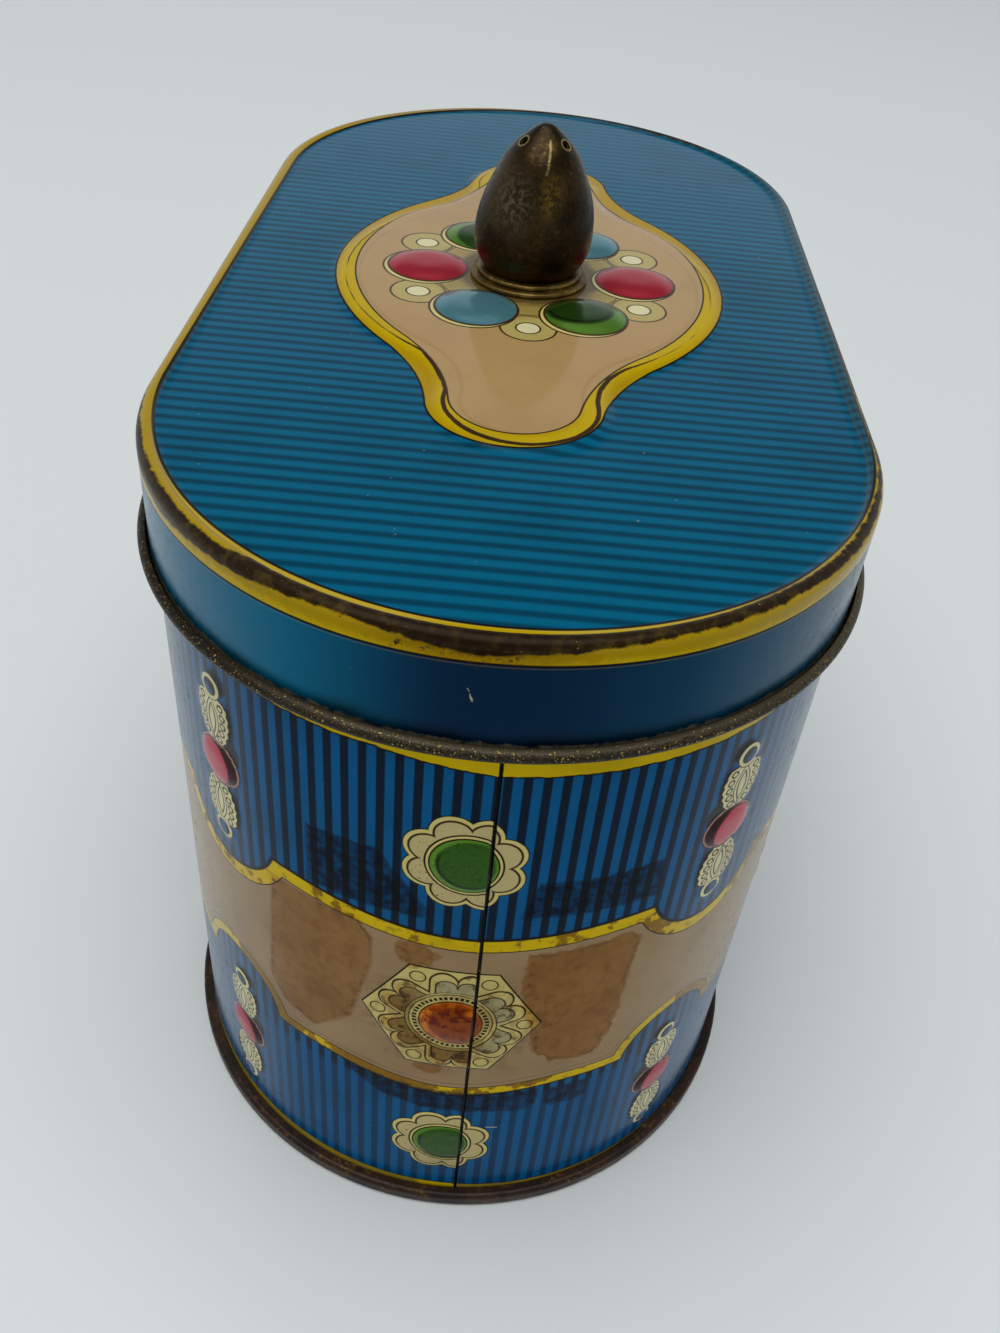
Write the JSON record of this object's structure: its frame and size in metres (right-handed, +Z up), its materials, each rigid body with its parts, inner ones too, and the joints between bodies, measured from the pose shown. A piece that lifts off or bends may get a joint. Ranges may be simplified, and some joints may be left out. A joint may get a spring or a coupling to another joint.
{
  "type": "tin canister",
  "caption": "Oblong tinplate canister with round ends, a printed and embossed body, a slip-on lid and a bud-shaped brass knob.",
  "frame": {"origin": "middle of the footprint, on the surface that the canister stands on", "axes": "+Z up, the way the lid lifts off; Y along the canister's long side, with the side seam on the end that faces -Y; X across it"},
  "size_m": [0.1008, 0.1908, 0.1454],
  "materials": {
    "printed_tin": "glossy lithographed lacquer, worn to brown metal along the rims",
    "bare_tin": "dull tinplate with brown rust on the seam",
    "aged_brass": "dark patina with brighter rubbed patches",
    "plain_steel": "dull plated steel"
  },
  "bodies": {
    "canister": {"body_shell": "printed_tin", "bottom_plate": "bare_tin"},
    "lid": {"lid_shell": "printed_tin", "knob_collar": "aged_brass", "knob_bud": "aged_brass", "knob_stud": "plain_steel", "knob_washer": "plain_steel", "knob_nut": "plain_steel"}
  },
  "joints": [
    {"name": "lid_lift", "type": "slide", "parent": "canister", "child": "lid", "axis": [0, 0, 1], "range_m": [0, 0.06]}
  ]
}
